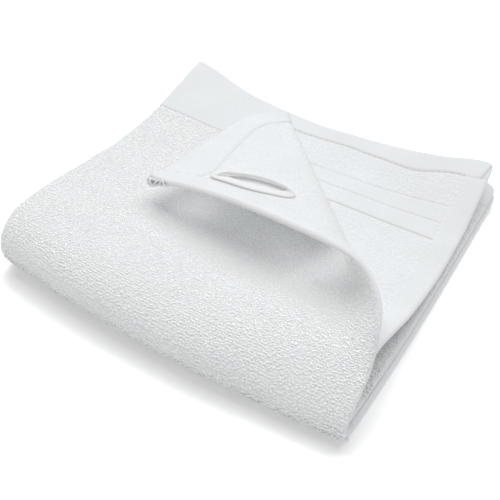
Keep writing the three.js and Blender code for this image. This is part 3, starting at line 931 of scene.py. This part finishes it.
def tapePiece():
    # A section between oval and rectangle, carried round a drop: minus cosine along, sine aside
    # times its fullness. It lies on the turned-back face, and its twist stands it on edge.
    t = (np.arange(tape["steps"]) + 0.5) / tape["steps"]
    start, full, leaves, flat = tape["twists"]
    twist = tape["twist"] * smoothStep(t, start, full) * (1 - smoothStep(t, leaves, flat))
    halfWide, halfThin = tape["width"] / 2, tape["thickness"] / 2
    across = np.hypot(halfWide * np.cos(twist), halfThin * np.sin(twist))
    upright = np.hypot(halfWide * np.sin(twist), halfThin * np.cos(twist))
    along = tape["length"] / 2 * (1 - np.cos(2 * math.pi * t))
    low, high, reached = tape["fullness"]
    fullness = low + (high - low) * smoothStep(along / tape["length"], 0, reached)
    aside = (tape["hole"] / 2 * fullness + across) * np.sin(2 * math.pi * t)
    sewnX = foldRows["outer"][-1] - tape["fromSide"]
    sewnY = foldRows["rightY"][-1] + turnedCorner["pull"]["y"] - tape["fromEnd"]
    cos, sin = math.cos(tape["turn"]), math.sin(tape["turn"])
    x = sewnX + along * cos - aside * sin
    y = sewnY + along * sin + aside * cos
    step = 0.5
    ahead = turnedBack(x, y + step) - turnedBack(x, y - step)
    beside = turnedBack(x + step, y) - turnedBack(x - step, y)
    up = unit(np.cross(ahead, beside))
    lift = cloth["layer"] / 2 + tape["clear"] + upright
    path = turnedBack(x, y) + up * lift[:, None] + shift
    tangent = unit(np.roll(path, -1, 0) - np.roll(path, 1, 0))
    level = unit(np.cross(tangent, up))
    wide = level * np.cos(twist)[:, None] + up * np.sin(twist)[:, None]
    thin = np.cross(wide, tangent)
    angle = 2 * math.pi * (np.arange(tape["sides"]) + 0.5) / tape["sides"]
    cos, sin = (np.sign(c) * np.abs(c) ** tape["squareness"] for c in (np.cos(angle), np.sin(angle)))
    ring = wide[:, None] * (cos * halfWide)[:, None] + thin[:, None] * (sin * halfThin)[:, None]
    points = path[:, None] + ring
    faces = tubeFaces(tape["steps"], tape["sides"], closed=True)[:, turnedOver]
    shares = [np.arange(tape[key]) / tape[key] for key in ("steps", "sides")]
    uv = np.stack(np.meshgrid(*shares, indexing="ij"), -1).reshape(-1, 2) * tape["uvSize"]
    return meshObject("loop_tape", points.reshape(-1, 3), faces, materials["tape"], uv=uv)


paper = {
    "half": 3.0,  # all in metres
    "colour": "#fdfdfd",
    "glow": 0.14,
    "far": [(0.45, 0.0003), (2.9, 0.0003), (2.9, 2.9)],  # radius and height of its outline
    "farGlow": 1.02,
    "farSides": 96,
}


def makeFloor():
    half = paper["half"]
    mesh = bpy.data.meshes.new("floor")
    corners = [(-half, -half, 0), (half, -half, 0), (half, half, 0), (-half, half, 0)]
    mesh.from_pydata(corners, [], [(0, 1, 2, 3)])
    floor = bpy.data.objects.new("floor", mesh)
    bpy.context.scene.collection.objects.link(floor)
    # Seamless white paper: matt, and lit a little from itself so that it stays paler than cloth
    material, _, _ = startMaterial(
        "white_paper_sweep", Base_Color=linearColour(paper["colour"]), Roughness=1.0,
        Specular_IOR_Level=0.0, Emission_Color=(1, 1, 1, 1), Emission_Strength=paper["glow"])
    mesh.materials.append(material)


def makeFarPaper():  # an outline turned about the middle: radius times cosine and sine
    sides = paper["farSides"]
    turn = np.arange(sides) * 2 * math.pi / sides
    radius, height = (np.array(column)[:, None] for column in zip(*paper["far"]))
    points = np.stack([radius * np.cos(turn), radius * np.sin(turn), height + 0 * turn], -1)
    # The far part of the white paper, bright enough to show white; it lights nothing
    material, _, _ = startMaterial(
        "far_white_paper", Base_Color=(0, 0, 0, 1), Specular_IOR_Level=0.0,
        Emission_Color=(1, 1, 1, 1), Emission_Strength=paper["farGlow"])
    quads = tubeFaces(len(points) - 1, sides)
    far = meshObject("far_paper", points.reshape(-1, 3) / mm, quads, material)
    for way in ("diffuse", "glossy", "transmission", "shadow", "volume_scatter"):
        setattr(far, "visible_" + way, False)


view = {
    "place": (106.2, -219.5, 234.5),  # in the cloth's own millimetres, before its box is centred
    "azimuth": 26.2,
    "down": 45.0,
    "roll": 5.0,
    "lens": 58.46,
    "sensor": 36,
    "nearest": 0.01,
}


def placedAt(place, right, up, back):
    matrix = np.eye(4)
    matrix[:3] = np.stack([right, up, back, place], 1)
    return Matrix(matrix.tolist())


def makeCamera():
    a, p, r = (math.radians(view[key]) for key in ("azimuth", "down", "roll"))
    forward = np.array([-math.sin(a) * math.cos(p), math.cos(a) * math.cos(p), -math.sin(p)])
    right = np.array([math.cos(a), math.sin(a), 0])
    up = np.cross(right, forward)
    right, up = (math.cos(r) * right + math.sin(r) * up, math.cos(r) * up - math.sin(r) * right)
    data = bpy.data.cameras.new("camera")
    data.lens = view["lens"]
    data.sensor_width = view["sensor"]
    data.clip_start = view["nearest"]
    camera = bpy.data.objects.new("camera", data)
    bpy.context.scene.collection.objects.link(camera)
    place = (np.array(view["place"]) + np.array([shift[0], shift[1], 0])) * mm
    camera.matrix_world = placedAt(place, right, up, -forward)
    bpy.context.scene.camera = camera


studio = {
    "softbox": {"place": (-0.2, 0.35, 1.1), "size": 1.3, "power": 15.7},
    "world": 0.34,
    "curve": ((0.28, 0.42), (0.55, 0.645), (0.84, 0.818)),  # the photo's very pale tones
}
# Light that the roll lets through, as small lamps under it: place, way, size, watts a square metre
throughLight = {
    "middle": ((-0.001, -0.009, 0.0248), (0, 0, -1), (0.042, 0.028), 0.45),
    "tip": ((-0.025, -0.011, 0.0210), (0, 0, -1), (0.015, 0.016), 1.7),
    "back": ((-0.017, 0.018, 0.0194), (0, 0, -1), (0.022, 0.024), 2.2),
    "roll": ((0.028, -0.021, 0.0300), (0, 0, -1), (0.014, 0.013), 3.6),
    "wall": ((0.028, -0.016, 0.0290), (1, -0.25, -0.1), (0.010, 0.008), 12.0),
}


def addLamp(name, place, way, size, power):  # a disk of one size, or a rectangle of two
    data = bpy.data.lights.new(name, "AREA")
    data.shape = "DISK" if len(size) == 1 else "RECTANGLE"
    data.size, data.size_y = size[0], size[-1]
    data.energy = power
    lamp = bpy.data.objects.new(name, data)
    bpy.context.scene.collection.objects.link(lamp)
    back = -np.array(way) / np.linalg.norm(way)
    right = unit(np.cross([0, 0, 1.0], back) + np.array([1e-6, 0, 0]))
    lamp.matrix_world = placedAt(place, right, np.cross(back, right), back)
    return lamp


def makeLights():
    box = studio["softbox"]
    addLamp("overhead_softbox", box["place"], -np.array(box["place"]), [box["size"]], box["power"])
    for part, (place, way, size, power) in throughLight.items():
        lamp = addLamp("light_through_" + part, place, way, size, power * size[0] * size[1])
        lamp.visible_camera = False
    world = bpy.data.worlds.new("studio")
    world.use_nodes = True
    background = world.node_tree.nodes["Background"]
    background.inputs["Color"].default_value = (1, 1, 1, 1)
    background.inputs["Strength"].default_value = studio["world"]
    bpy.context.scene.world = world
    look = bpy.context.scene.view_settings
    look.view_transform = "Standard"
    look.use_curve_mapping = True
    for x, y in studio["curve"]:
        look.curve_mapping.curves[3].points.new(x, y)
    look.curve_mapping.update()


makeCamera()
print("camera placed")
sheetPiece = clothPiece()
print("cloth sheet", len(sheetPiece.data.polygons) * 2, "triangles")
pilePieces = makePile()
stitches = stitchPiece()
loopTape = tapePiece()
print("stitches and tape made")

for piece in [sheetPiece, stitches, *pilePieces]:
    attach(piece, "root")
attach(loopTape, "root")
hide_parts("cloth")
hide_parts("hanging_loop")

makeFloor()
makeFarPaper()
makeLights()
